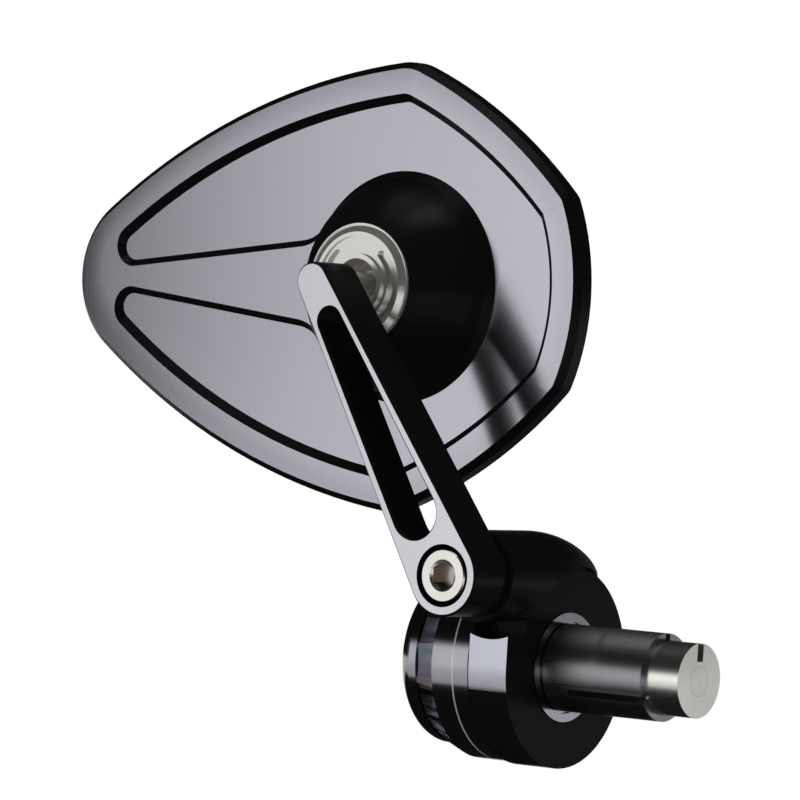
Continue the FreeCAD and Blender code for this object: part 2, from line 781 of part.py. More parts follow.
def mirror_housing():
    """Solid shield with a bevelled back edge, dome, pocket and glass recess."""
    sections = [
        head_outline(head_chamfer, head_back),
        head_outline(0, head_back + head_chamfer),
        head_outline(0, head_front),
    ]
    housing = Part.makeLoft(sections, True, True)
    housing = housing.cut(pocket())
    housing = housing.fuse(dome()).removeSplitter()
    housing = housing.cut(rod(cap_thread_radius, Y * -dome_top, Y * well_floor))
    return in_head(housing.cut(head_prism(rim_lip, recess_floor, head_front - recess_floor)))


def tape_pad():
    inset = rim_lip + pad_tape_inset
    return in_head(head_prism(inset, recess_floor, pad_tape_thickness))


def mirror_glass():
    inset = rim_lip + glass_edge_gap
    return in_head(head_prism(inset, recess_floor + pad_tape_thickness, glass_thickness))


os.makedirs("parts", exist_ok=True)
save(unit_body(), "bar_end_body")
save(trim_ring(), "trim_ring")
save(signal_head(), "signal_head")
save(lamp_board(), "lamp_board")
save(lamps(), "signal_lamps")
save(lens_seal(), "lens_seal")
save(signal_lens(), "signal_lens")
save(end_disc(), "end_disc")
save(plug_bolt(), "plug_bolt")
save(plug_sleeve(), "plug_sleeve")
save(plug_cone(), "plug_cone")
save(mount_ring(), "mount_ring")
save(pivot_sleeve(), "pivot_sleeve")
save(pivot_washer(), "pivot_washer")
save(arm_screw(), "arm_screw")
save(mirror_arm(), "mirror_arm")
save(stud_washer(), "stud_washer")
save(ball_stud(), "ball_stud")
save(ball_seat(front_seat_from_deg, front_seat_to_deg), "front_ball_seat")
save(ball_seat(rear_seat_from_deg, rear_seat_to_deg), "rear_ball_seat")
save(joint_cap(), "joint_cap")
save(pressure_pad(), "pressure_pad")
save(disc_spring(), "disc_spring")
save(mirror_housing(), "mirror_housing")
save(tape_pad(), "tape_pad")
save(mirror_glass(), "mirror_glass")
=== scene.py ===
# %% [markdown]
# # A bar-end mirror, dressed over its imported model
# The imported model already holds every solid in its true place, so this lesson adds what a solid
# can't have: finishes, small repeated details, a studio and the photograph's camera. Each step
# says what the real thing is, how it could be made, and why it is made this way.

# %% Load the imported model
import json
import math

import bmesh
import bpy
from mathutils import Matrix, Vector


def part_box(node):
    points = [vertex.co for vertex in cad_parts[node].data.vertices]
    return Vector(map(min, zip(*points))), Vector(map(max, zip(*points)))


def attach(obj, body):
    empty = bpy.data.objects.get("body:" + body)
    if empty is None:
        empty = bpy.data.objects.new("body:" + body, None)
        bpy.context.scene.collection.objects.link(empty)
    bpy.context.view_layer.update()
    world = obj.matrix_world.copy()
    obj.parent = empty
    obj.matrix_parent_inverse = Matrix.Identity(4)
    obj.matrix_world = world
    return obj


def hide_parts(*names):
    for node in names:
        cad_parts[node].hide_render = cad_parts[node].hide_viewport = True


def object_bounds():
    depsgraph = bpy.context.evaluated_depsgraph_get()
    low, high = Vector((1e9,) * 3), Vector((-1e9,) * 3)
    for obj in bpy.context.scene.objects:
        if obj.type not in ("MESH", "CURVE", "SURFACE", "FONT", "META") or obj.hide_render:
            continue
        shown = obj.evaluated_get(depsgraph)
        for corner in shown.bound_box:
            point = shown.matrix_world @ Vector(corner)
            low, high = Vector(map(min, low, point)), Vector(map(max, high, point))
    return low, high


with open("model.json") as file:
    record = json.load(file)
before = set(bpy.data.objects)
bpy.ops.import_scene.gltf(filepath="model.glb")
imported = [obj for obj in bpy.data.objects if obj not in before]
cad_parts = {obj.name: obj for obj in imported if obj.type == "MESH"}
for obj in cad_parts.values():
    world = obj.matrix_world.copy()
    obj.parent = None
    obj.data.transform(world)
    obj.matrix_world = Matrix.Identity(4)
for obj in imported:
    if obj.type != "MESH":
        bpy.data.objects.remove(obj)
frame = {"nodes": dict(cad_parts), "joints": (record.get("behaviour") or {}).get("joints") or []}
cad_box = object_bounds()
scene = bpy.context.scene
MM = 0.001


def in_mm(corners):
    """Corners in metres as rounded millimetres, to print."""
    return [[round(v / MM, 1) for v in corner] for corner in corners]


print("nodes:", len(frame["nodes"]), "box in mm:", in_mm(cad_box))

# %% [markdown]
# ## The camera
# The picture was taken with a long lens from the right of the mirror's back, almost level and
# with a little roll. A camera can be aimed by eye, but the circles and straight edges of the model
# gave its turn, tilt, roll and distance, so it is written down here as those few facts. No lens
# shift is used, so that other views keep their framing.

# %% Camera
TURN, TILT, ROLL = (math.radians(angle) for angle in (37.04, 0.82, 3.5))
LENS_MM, SENSOR_MM, FARTHEST = 270, 36, 20
AWAY, ASIDE, ABOVE = 1.2025, -0.03345, 0.0536
right = Vector((math.cos(TURN), math.sin(TURN), 0))
back = Vector((math.sin(TURN) * math.cos(TILT), -math.cos(TURN) * math.cos(TILT), math.sin(TILT)))
up = back.cross(right)
right, up = (right * math.cos(ROLL) + up * math.sin(ROLL),
             up * math.cos(ROLL) - right * math.sin(ROLL))
lens_data = bpy.data.cameras.new("photo_camera")
lens_data.sensor_width = SENSOR_MM
lens_data.lens = LENS_MM
lens_data.clip_end = FARTHEST
camera = bpy.data.objects.new("photo_camera", lens_data)
camera.matrix_world = Matrix((right, up, back)).transposed().to_4x4()
camera.location = back * AWAY + right * ASIDE + up * ABOVE
scene.collection.objects.link(camera)
scene.camera = camera
print("camera at", [round(v, 3) for v in camera.location])

# %% [markdown]
# ## Small helpers
# A colour is written as the hex value that a screen shows, and Blender wants linear light, so one
# function changes it. One more function adds a node, sets it up and links it. With these two, every
# finish below is a short list of nodes.

# %% Helpers
def linear(hex_value):
    """An sRGB hex colour as linear RGBA."""
    parts = [int(hex_value[at:at + 2], 16) / 255 for at in (1, 3, 5)]
    return [p / 12.92 if p <= 0.04045 else ((p + 0.055) / 1.055) ** 2.4 for p in parts] + [1]


def shade(tone, factor):
    """A linear colour made darker or lighter."""
    return [min(1, c * factor) for c in tone[:3]] + [1]


def add(tree, kind, links=None, **settings):
    """One node: its settings by name, and each input as a value or as the socket that feeds it."""
    node = tree.nodes.new(kind)
    for name, value in settings.items():
        setattr(node, name, value)
    for name, value in (links or {}).items():
        if isinstance(value, bpy.types.NodeSocket):
            tree.links.new(value, node.inputs[name])
        else:
            node.inputs[name].default_value = value
    return node


def new_material(name):
    """An empty material and its node tree."""
    material = bpy.data.materials.new(name)
    material.use_nodes = True
    tree = material.node_tree
    tree.nodes.clear()
    return material, tree


def finish_material(material, shader):
    """Links the shader to the material's output."""
    add(material.node_tree, "ShaderNodeOutputMaterial", {"Surface": shader.outputs[0]})
    return material


def dress(material, *names):
    """Gives CAD nodes a finish in place of their plain one."""
    for name in names:
        for slot in frame["nodes"][name].material_slots:
            slot.material = material
    print(material.name, "on", ", ".join(names))


# %% [markdown]
# ## Black anodised aluminium, turned and face-milled
# The head, the arm, the ring and the bar-end unit are cut from solid aluminium and anodised black.
# The cutter leaves rings finer than the eye can part, so the faces shine like satin: a reflection
# spreads across the rings and stays sharp along them. That is what anisotropy does, with a tangent
# that points across the rings. Flanks, pocket walls and dome come from the side of a cutter and take
# the dye deeper, so they are darker and a little rougher. Which is which is read from the surface
# itself: it faces the way of the cut faces and lies no deeper than they do.
#
# The outer band of the head is polished after milling, which crowns it by a degree or two towards
# its edge. That could be modelled, but it is a hundredth of its width deep. A bump from the distance
# to the outline bends the reflection by the same angle, and the solid keeps its plain face. The
# band's colour also darkens towards the outline: painted shade where the crown turns from the light.

# %% Rings of a cutter
ROUND_Y, ROUND_X = (1, 0, 1), (0, 1, 1)


def across_axis(tree, point, centre, keep):
    """The way out from an axis to a point, square to the axis, and its length. keep holds 1 for each
    coordinate that lies square to the axis."""
    spoke = add(tree, "ShaderNodeVectorMath", {0: point, 1: centre}, operation="SUBTRACT").outputs[0]
    out = add(tree, "ShaderNodeVectorMath", {0: spoke, 1: keep}, operation="MULTIPLY").outputs[0]
    return out, add(tree, "ShaderNodeVectorMath", {0: out}, operation="LENGTH").outputs["Value"]


def cut_rings(tree, reach, pitch):
    """The uneven rings that a tool leaves, one pitch apart."""
    steps = add(tree, "ShaderNodeMath", {0: reach, 1: 1 / pitch}, operation="MULTIPLY").outputs[0]
    return add(tree, "ShaderNodeTexNoise", {"W": steps, "Scale": 1.0, "Detail": 2.0},
               noise_dimensions="1D").outputs[0]


# %% Distance to an outline
def edge_distance(tree, point, discs, ends):
    """How far a point lies inside an outline of arcs: the least depth in any disc that holds all of it,
    or, within the spread of a rounded end, the depth in that end's disc."""
    least = None
    for disc_centre, radius in discs:
        reach = across_axis(tree, point, disc_centre, ROUND_Y)[1]
        depth = add(tree, "ShaderNodeMath", {0: radius, 1: reach}, operation="SUBTRACT").outputs[0]
        if least is not None:
            depth = add(tree, "ShaderNodeMath", {0: least, 1: depth}, operation="MINIMUM").outputs[0]
        least = depth
    for end_centre, radius, end_way, spread in ends:
        out, reach = across_axis(tree, point, end_centre, ROUND_Y)
        depth = add(tree, "ShaderNodeMath", {0: radius, 1: reach}, operation="SUBTRACT").outputs[0]
        way = add(tree, "ShaderNodeVectorMath", {0: out}, operation="NORMALIZE").outputs[0]
        along = add(tree, "ShaderNodeVectorMath", {0: way, 1: end_way},
                    operation="DOT_PRODUCT").outputs["Value"]
        in_end = add(tree, "ShaderNodeMath", {0: along, 1: spread}, operation="GREATER_THAN").outputs[0]
        least = add(tree, "ShaderNodeMix", {0: in_end, 2: least, 3: depth}, data_type="FLOAT").outputs[0]
    return least


# %% Anodised aluminium
FLANK_BLACK = linear("#161618")
# Rings are about 0.05 mm apart on the real faces; they are drawn at 0.35 mm so that they show.
CUTTER_RING, ETCHED_GRAIN = 0.35 * MM, 0.5 * MM
FACE_STEP, FACE_SLACK = 2 * MM, 0.1 * MM
# The last two set painted shade: how far the band's colour darkens towards the outline, and over how much of
# the band.
BAND_WIDE, BAND_LEAN, BAND_PAINTED_SHADE, BAND_SHADE_SPREAD = 6.8 * MM, 0.032, 0.87, 0.6


def anodised(name, face_hex, face_at=None, centre=None, square=0.98, along_bar=False, outline=None):
    """Black anodised metal. face_at is the Y of its deepest cut face, and the others lie within a step
    in front of that; centre is what the rings run round; square is how squarely a cut face has to face
    that way. An outline has a band along it that is crowned by polishing, and whose colour darkens
    towards the outline as painted shade."""
    face_grey = linear(face_hex)
    material, tree = new_material(name)
    where = add(tree, "ShaderNodeTexCoord")
    point, facing_way = where.outputs["Object"], where.outputs["Normal"]
    if along_bar:
        # Turned on the bar's axis: the rings run round X, so the distance along X tells them apart.
        across = (1, 0, 0)
        reach = add(tree, "ShaderNodeSeparateXYZ", {"Vector": point}).outputs["X"]
    else:
        across, reach = across_axis(tree, point, centre, ROUND_Y)
    tangent = add(tree, "ShaderNodeVectorTransform", {"Vector": across}, vector_type="VECTOR",
                  convert_from="OBJECT", convert_to="WORLD").outputs[0]
    rings = cut_rings(tree, reach, CUTTER_RING)
    grain = add(tree, "ShaderNodeTexNoise", {"Vector": point, "Scale": 1 / ETCHED_GRAIN,
                                             "Detail": 3.0}).outputs[0]
    mottle = add(tree, "ShaderNodeMix", {0: 0.5, 2: rings, 3: grain}, data_type="FLOAT").outputs[0]
    face_rough = add(tree, "ShaderNodeMapRange", {"Value": mottle, "To Min": 0.12,
                                                  "To Max": 0.19}).outputs[0]
    flank_rough = add(tree, "ShaderNodeMapRange", {"Value": grain, "To Min": 0.24,
                                                   "To Max": 0.34}).outputs[0]
    face_tone = add(tree, "ShaderNodeMix", {0: mottle, 6: shade(face_grey, 0.88),
                                            7: shade(face_grey, 1.12)}, data_type="RGBA").outputs[2]
    if along_bar:
        colour, rough, metal = face_tone, face_rough, 1.0
    else:
        turned_away = add(tree, "ShaderNodeSeparateXYZ", {"Vector": facing_way}).outputs["Y"]
        depth = add(tree, "ShaderNodeSeparateXYZ", {"Vector": point}).outputs["Y"]
        square_on = add(tree, "ShaderNodeMath", {0: turned_away, 1: -square},
                        operation="LESS_THAN").outputs[0]
        in_plane = add(tree, "ShaderNodeMath", {0: depth, 1: face_at - FACE_STEP / 2,
                                                2: FACE_STEP / 2 + FACE_SLACK},
                       operation="COMPARE").outputs[0]
        on_face = add(tree, "ShaderNodeMath", {0: square_on, 1: in_plane},
                      operation="MULTIPLY").outputs[0]
        colour = add(tree, "ShaderNodeMix", {0: on_face, 6: FLANK_BLACK, 7: face_tone},
                     data_type="RGBA").outputs[2]
        rough = add(tree, "ShaderNodeMix", {0: on_face, 2: flank_rough, 3: face_rough},
                    data_type="FLOAT").outputs[0]
        metal = on_face
    relief = add(tree, "ShaderNodeBump", {"Height": mottle, "Strength": 0.06, "Distance": 0.02 * MM})
    if outline:
        inside = edge_distance(tree, point, *outline)
        over = add(tree, "ShaderNodeMath", {0: BAND_WIDE, 1: inside}, operation="SUBTRACT",
                   use_clamp=True).outputs[0]
        square_of = add(tree, "ShaderNodeMath", {0: over, 1: 2.0}, operation="POWER").outputs[0]
        drop = add(tree, "ShaderNodeMath", {0: square_of, 1: -BAND_LEAN / (2 * BAND_WIDE)},
                   operation="MULTIPLY").outputs[0]
        crown = add(tree, "ShaderNodeBump", {"Height": drop, "Strength": 1.0, "Distance": 1.0}).outputs[0]
        tree.links.new(crown, relief.inputs["Normal"])
        # Painted shade: the colour darkens towards the outline, where the crowned band turns from the light.
        tone = add(tree, "ShaderNodeMapRange", {"Value": over, "From Max": BAND_WIDE * BAND_SHADE_SPREAD,
                                                "To Min": 1.0, "To Max": BAND_PAINTED_SHADE}).outputs[0]
        colour = add(tree, "ShaderNodeVectorMath", {0: colour, "Scale": tone},
                     operation="SCALE").outputs[0]
    shader = add(tree, "ShaderNodeBsdfPrincipled", {
        "Base Color": colour, "Roughness": rough, "Metallic": metal, "Anisotropic": 0.5,
        "Specular IOR Level": 0.05, "Tangent": tangent, "Normal": relief.outputs[0]})
    return finish_material(material, shader)


# %% Where the cut faces are
joint_at = {joint["name"]: Vector(joint["pos_m"]) for joint in frame["joints"]}
ball, pivot = joint_at["head_tilt"], joint_at["arm_pivot"]
GLASS_TO_POCKET, RING_STEP = 2.9 * MM, 0.5 * MM
pocket_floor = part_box("mirror_glass")[1].y - GLASS_TO_POCKET
arm_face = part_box("mirror_arm")[0].y
ring_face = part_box("mount_ring")[0].y
NO_FACE = -1.0  # a plane far off, for a piece that has no cut face
ring_centre = Vector((pivot.x, 0, 0))
# The head's outline: arcs given by centre and radius in millimetres, along the head's axis and across
# it from the ball, and its two ends by centre, radius, way and half spread in degrees. The head is
# rolled a little.
HEAD_ROLL = math.radians(0.8)
ARCS = ((17.4, -108.1, 155.0), (17.4, 108.1, 155.0), (-37.1, -55.1, 108.0), (-37.1, 55.1, 108.0))
ENDS = ((-66.8, 18.0, -1, 52.0), (-3.5, 48.7, 1, 23.5))


def on_head(along, across):
    """A place on the head in the frame, from millimetres along its axis and across it."""
    return ball + Vector((along * math.cos(HEAD_ROLL) + across * math.sin(HEAD_ROLL), 0,
                          across * math.cos(HEAD_ROLL) - along * math.sin(HEAD_ROLL))) * MM


head_discs = [(on_head(along, across), radius * MM) for along, across, radius in ARCS]
head_ends = [(on_head(along, 0), radius * MM, (on_head(way, 0) - ball).normalized(),
              math.cos(math.radians(half_spread))) for along, radius, way, half_spread in ENDS]
print("cut faces in mm: pocket floor", round(pocket_floor / MM, 2), "arm", round(arm_face / MM, 2),
      "ring", round(ring_face / MM, 2))

# %% Anodised pieces
dress(anodised("anodised_head", "#B0AFB8", pocket_floor, ball, outline=(head_discs, head_ends)),
      "mirror_housing")
dress(anodised("anodised_arm", "#BEBEC4", arm_face, pivot), "mirror_arm")
dress(anodised("anodised_ring", "#B2B3BD", ring_face + RING_STEP, ring_centre, square=0.96), "mount_ring")
dress(anodised("anodised_sleeve", "#B2B2B7", NO_FACE, ring_centre), "pivot_sleeve")
dress(anodised("anodised_bar_end", "#9F9FA6", along_bar=True), "bar_end_body", "signal_head")
dress(anodised("anodised_end_disc", "#9C9CA4", along_bar=True), "end_disc")

# %% [markdown]
# ## Stainless steel, turned
# The cap of the ball joint, the ball stud and the screws are turned from stainless steel and left
# bare. Steel reflects over half of what falls on it, slightly warm, and the lathe's rings spread it
# across themselves, as on the black metal. Inside the screw's socket the colour is darker and
# browner: painted shade in the recess. The trim ring is bright-cut aluminium, so whiter.

# %% Bright metals
# The second colour is painted shade for the inside of the screw's socket.
STEEL, SOCKET_PAINTED_SHADE = linear("#EDEBE6"), linear("#B4ABA0")
# Lathe rings of about 0.1 mm, drawn at 0.25 mm so that they show.
LATHE_RING = 0.25 * MM


def turned_metal(name, tone, centre, keep=ROUND_Y, rough=(0.18, 0.3), metallic=1.0, socket=None):
    """Bare metal turned about an axis through a centre. Inside a socket, given by its radius and the Y
    that it starts at, the colour is darker: painted shade in the recess."""
    material, tree = new_material(name)
    point = add(tree, "ShaderNodeTexCoord").outputs["Object"]
    across, reach = across_axis(tree, point, centre, keep)
    tangent = add(tree, "ShaderNodeVectorTransform", {"Vector": across}, vector_type="VECTOR",
                  convert_from="OBJECT", convert_to="WORLD").outputs[0]
    rings = cut_rings(tree, reach, LATHE_RING)
    roughness = add(tree, "ShaderNodeMapRange", {"Value": rings, "To Min": rough[0],
                                                 "To Max": rough[1]}).outputs[0]
    colour = add(tree, "ShaderNodeMix", {0: rings, 6: shade(tone, 0.9), 7: tone},
                 data_type="RGBA").outputs[2]
    if socket:
        socket_radius, socket_start = socket
        depth = add(tree, "ShaderNodeSeparateXYZ", {"Vector": point}).outputs["Y"]
        within = add(tree, "ShaderNodeMath", {0: reach, 1: socket_radius}, operation="LESS_THAN").outputs[0]
        below = add(tree, "ShaderNodeMath", {0: depth, 1: socket_start}, operation="GREATER_THAN").outputs[0]
        in_socket = add(tree, "ShaderNodeMath", {0: within, 1: below}, operation="MULTIPLY").outputs[0]
        # Painted shade: inside the socket the colour is darker and browner.
        colour = add(tree, "ShaderNodeMix", {0: in_socket, 6: colour, 7: SOCKET_PAINTED_SHADE},
                     data_type="RGBA").outputs[2]
    relief = add(tree, "ShaderNodeBump", {"Height": rings, "Strength": 0.05,
                                          "Distance": 0.02 * MM}).outputs[0]
    shader = add(tree, "ShaderNodeBsdfPrincipled", {
        "Base Color": colour, "Roughness": roughness, "Metallic": metallic, "Anisotropic": 0.4,
        "Tangent": tangent, "Normal": relief})
    return finish_material(material, shader)


# %% Bright pieces
SOCKET_RADIUS, SOCKET_START = 2.95 * MM, 0.4 * MM
bar_centre = Vector((0, 0, 0))
joint_steel = turned_metal("turned_steel_joint", STEEL, ball, metallic=0.75)
screw_steel = turned_metal("turned_steel_screw", STEEL, pivot, rough=(0.22, 0.34),
                           socket=(SOCKET_RADIUS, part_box("arm_screw")[0].y + SOCKET_START))
plug_steel = turned_metal("turned_steel_plug", STEEL, bar_centre, ROUND_X)
trim_metal = turned_metal("bright_cut_trim", linear("#E4E4E6"), bar_centre, ROUND_X, metallic=0.4)
sleeve_metal = turned_metal("bare_aluminium_plug", linear("#A9A9AD"), bar_centre, ROUND_X, rough=(0.3, 0.45))
dress(joint_steel, "joint_cap", "ball_stud", "stud_washer", "disc_spring")
dress(screw_steel, "arm_screw")
dress(plug_steel, "plug_bolt", "plug_cone")
dress(trim_metal, "trim_ring")
dress(sleeve_metal, "plug_sleeve")

# %% [markdown]
# ## Glass, clear lens and small plastics
# The glass is silvered on its back: a mirror with a trace of green in it. The lens is moulded clear
# acrylic, so light goes through and bends, and its facets break it up. The seats of the ball are
# natural acetal, the seals rubber and the tape foam: hidden, but each has its own grain.

# %% Silvered glass
# Float glass waves by a hair over some centimetres; the silver has a faint haze of 3 mm cells.
GLASS_WAVE, SILVER_HAZE = 40 * MM, 3 * MM


def silvered_glass():
    """Glass with silver on its back."""
    material, tree = new_material("silvered_glass")
    point = add(tree, "ShaderNodeTexCoord").outputs["Object"]
    wave = add(tree, "ShaderNodeTexNoise", {"Vector": point, "Scale": 1 / GLASS_WAVE,
                                            "Detail": 1.0}).outputs[0]
    haze = add(tree, "ShaderNodeTexNoise", {"Vector": point, "Scale": 1 / SILVER_HAZE,
                                            "Detail": 2.0}).outputs[0]
    roughness = add(tree, "ShaderNodeMapRange", {"Value": haze, "To Min": 0.01,
                                                 "To Max": 0.035}).outputs[0]
    colour = add(tree, "ShaderNodeMix", {0: haze, 6: linear("#DDE3E4"), 7: linear("#E6EAEA")},
                 data_type="RGBA").outputs[2]
    relief = add(tree, "ShaderNodeBump", {"Height": wave, "Strength": 0.02,
                                          "Distance": 0.02 * MM}).outputs[0]
    shader = add(tree, "ShaderNodeBsdfPrincipled", {
        "Base Color": colour, "Roughness": roughness, "Metallic": 1.0, "Normal": relief})
    return finish_material(material, shader)


dress(silvered_glass(), "mirror_glass")

# %% Clear acrylic
ACRYLIC_FLOW = 6 * MM
# Its hard coat is thicker towards the top, so the colours of a thin film run from violet to green.
COAT_HALF_HEIGHT, COAT_LOW_NM, COAT_HIGH_NM = 6 * MM, 180.0, 262.0


def clear_acrylic():
    """Clear moulded acrylic with a hard coat."""
    material, tree = new_material("clear_acrylic")
    point = add(tree, "ShaderNodeTexCoord").outputs["Object"]
    flow = add(tree, "ShaderNodeTexNoise", {"Vector": point, "Scale": 1 / ACRYLIC_FLOW,
                                            "Detail": 1.0}).outputs[0]
    roughness = add(tree, "ShaderNodeMapRange", {"Value": flow, "To Min": 0.0, "To Max": 0.03}).outputs[0]
    height = add(tree, "ShaderNodeSeparateXYZ", {"Vector": point}).outputs["Z"]
    coat = add(tree, "ShaderNodeMapRange", {
        "Value": height, "From Min": -COAT_HALF_HEIGHT, "From Max": COAT_HALF_HEIGHT,
        "To Min": COAT_LOW_NM, "To Max": COAT_HIGH_NM}).outputs[0]
    shader = add(tree, "ShaderNodeBsdfPrincipled", {
        "Base Color": linear("#CFCDD6"), "Roughness": roughness, "IOR": 1.49, "Transmission Weight": 1.0,
        "Thin Film Thickness": coat, "Thin Film IOR": 1.62})
    return finish_material(material, shader)


dress(clear_acrylic(), "signal_lens")

# %% Moulded plastics, rubber and foam
def moulded(name, tone, grain_mm, rough, bump=0.1):
    """A matt moulded piece with a fine grain."""
    material, tree = new_material(name)
    point = add(tree, "ShaderNodeTexCoord").outputs["Object"]
    grain = add(tree, "ShaderNodeTexNoise", {"Vector": point, "Scale": 1 / (grain_mm * MM),
                                             "Detail": 3.0}).outputs[0]
    colour = add(tree, "ShaderNodeMix", {0: grain, 6: shade(tone, 0.85), 7: tone},
                 data_type="RGBA").outputs[2]
    roughness = add(tree, "ShaderNodeMapRange", {"Value": grain, "To Min": rough - 0.08,
                                                 "To Max": rough + 0.08}).outputs[0]
    relief = add(tree, "ShaderNodeBump", {"Height": grain, "Strength": bump,
                                          "Distance": 0.05 * MM}).outputs[0]
    shader = add(tree, "ShaderNodeBsdfPrincipled", {
        "Base Color": colour, "Roughness": roughness, "IOR": 1.5, "Normal": relief})
    return finish_material(material, shader)


dress(moulded("acetal_seats", linear("#E4E1D8"), 0.4, 0.45),
      "front_ball_seat", "rear_ball_seat", "pressure_pad")
dress(moulded("black_nylon_washer", linear("#1B1B1C"), 0.3, 0.5), "pivot_washer")
dress(moulded("seal_rubber", linear("#161616"), 0.3, 0.75), "lens_seal")
dress(moulded("foam_tape", linear("#202022"), 0.25, 0.85, 0.4), "tape_pad")
dress(moulded("lacquered_board", linear("#1E3A28"), 0.6, 0.3), "lamp_board")

# %% [markdown]
# ## Ribs and lamps in a circle
# Both socket screws have fine straight ribs round their heads, so that fingers can start them, and
# eight lamps stand in a circle behind the lens. Each is one small shape repeated round a circle. An
# array modifier could do it, but a small Geometry Nodes tree keeps the count and the radius as named
# inputs and serves both: it puts the template on each point of a circle, turns it to face outwards,
# makes the copies real and gives them their finish. The result becomes a plain mesh, so nothing
# live is left on the piece.

# %% A tree that repeats a template round a circle
round_row = bpy.data.node_groups.new("round_row", "GeometryNodeTree")
for label, kind in (("Template", "NodeSocketObject"), ("Count", "NodeSocketInt"),
                    ("Radius", "NodeSocketFloat"), ("Finish", "NodeSocketMaterial")):
    round_row.interface.new_socket(label, in_out="INPUT", socket_type=kind)
round_row.interface.new_socket("Geometry", in_out="OUTPUT", socket_type="NodeSocketGeometry")
given = add(round_row, "NodeGroupInput").outputs
circle = add(round_row, "GeometryNodeMeshCircle", {"Vertices": given["Count"],
                                                   "Radius": given["Radius"]}).outputs[0]
template = add(round_row, "GeometryNodeObjectInfo", {"Object": given["Template"]}).outputs["Geometry"]
spot = add(round_row, "GeometryNodeInputPosition").outputs[0]
outwards = add(round_row, "FunctionNodeAlignRotationToVector", {"Vector": spot},
               axis="X", pivot_axis="Z").outputs[0]
copies = add(round_row, "GeometryNodeInstanceOnPoints",
             {"Points": circle, "Instance": template, "Rotation": outwards}).outputs[0]
solid = add(round_row, "GeometryNodeRealizeInstances", {"Geometry": copies}).outputs[0]
finished = add(round_row, "GeometryNodeSetMaterial", {"Geometry": solid,
                                                      "Material": given["Finish"]}).outputs[0]
add(round_row, "NodeGroupOutput", {"Geometry": finished})
print("round_row nodes:", len(round_row.nodes))


# %% A row as a plain mesh
def make_row(name, template_mesh, count, radius, finish, placement):
    """A plain mesh of a template repeated round a circle, put in its place in the frame."""
    template = bpy.data.objects.new(name + "_template", template_mesh)
    maker = bpy.data.objects.new(name + "_maker", bpy.data.meshes.new(name + "_maker"))
    scene.collection.objects.link(maker)
    row = maker.modifiers.new("row", "NODES")
    row.node_group = round_row
    values = {"Template": template, "Count": count, "Radius": radius, "Finish": finish}
    for socket in round_row.interface.items_tree:
        if socket.in_out == "INPUT":
            row[socket.identifier] = values[socket.name]
    mesh = bpy.data.meshes.new_from_object(maker.evaluated_get(bpy.context.evaluated_depsgraph_get()))
    mesh.name = name
    mesh.transform(placement)
    bpy.data.objects.remove(maker)
    bpy.data.objects.remove(template)
    piece = bpy.data.objects.new(name, mesh)
    scene.collection.objects.link(piece)
    print(name, "faces:", len(mesh.polygons))
    return piece


def facing(origin, outward, top):
    """A placement: the circle's axis points outward, and its first point towards the top."""
    return Matrix.Translation(origin) @ Matrix((top, outward.cross(top), outward)).transposed().to_4x4()


# %% Ribs on the screw heads
HEAD_HEIGHT, RIB_COUNT = 6.0 * MM, 48
RIB_HEIGHT, RIB_HALF, RIB_START, RIB_STOP = 0.12 * MM, 0.24 * MM, 0.3 * MM, 0.6 * MM
UPWARD, AHEAD, OUTBOARD = Vector((0, 0, 1)), Vector((0, -1, 0)), Vector((-1, 0, 0))


def rib_mesh(height, half, start, end):
    """One rib: a low ridge along Z whose ends slope down, set a little into the head."""
    ridge = [(height, 0, start + 2 * height), (height, 0, end - 2 * height)]
    foot = [(-height, -half, start), (-height, half, start), (-height, half, end), (-height, -half, end)]
    mesh = bpy.data.meshes.new("rib")
    mesh.from_pydata(ridge + foot, [], [(0, 1, 5, 2), (1, 0, 3, 4), (0, 2, 3), (1, 4, 5), (2, 5, 4, 3)])
    return mesh


screw_top, plug_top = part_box("arm_screw")[0].y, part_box("plug_bolt")[0].x
rib = rib_mesh(RIB_HEIGHT, RIB_HALF, RIB_START, HEAD_HEIGHT - RIB_STOP)
screw_ribs = make_row("screw_ribs", rib, RIB_COUNT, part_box("arm_screw")[1].x - pivot.x, screw_steel,
                      facing(Vector((pivot.x, screw_top + HEAD_HEIGHT, pivot.z)), AHEAD, UPWARD))
bolt_ribs = make_row("bolt_ribs", rib, RIB_COUNT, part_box("plug_bolt")[1].z, plug_steel,
                     facing(Vector((plug_top + HEAD_HEIGHT, 0, 0)), OUTBOARD, UPWARD))
for piece, body in ((screw_ribs, "ring"), (bolt_ribs, "bar_end")):
    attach(piece, body)


# %% Shape of a lamp
def lamp_block(wide, long, thick, middle_z):
    """A block of a lamp's length and width, for a mesh that is being formed."""
    form = bmesh.new()
    size = Matrix.Diagonal((wide, long, thick, 1))
    bmesh.ops.create_cube(form, size=1, matrix=Matrix.Translation((0, 0, middle_z)) @ size)
    return form


def lamp_body_mesh(wide, long, high, rim, sunk):
    """A moulded lamp body with a bevelled edge and a sloping recess for the window."""
    mesh = bpy.data.meshes.new("lamp_body")
    form = lamp_block(wide, long, high, high / 2)
    upright = [edge for edge in form.edges
               if abs(edge.verts[0].co.z - edge.verts[1].co.z) > high / 2]
    bmesh.ops.bevel(form, geom=upright, offset=rim / 3, segments=3, profile=0.5, affect="EDGES")
    top = [face for face in form.faces if face.normal.z > 0.9]
    bmesh.ops.inset_region(form, faces=top, thickness=rim, depth=0)
    bmesh.ops.inset_region(form, faces=top, thickness=sunk / 2, depth=-sunk)
    form.to_mesh(mesh)
    form.free()
    return mesh


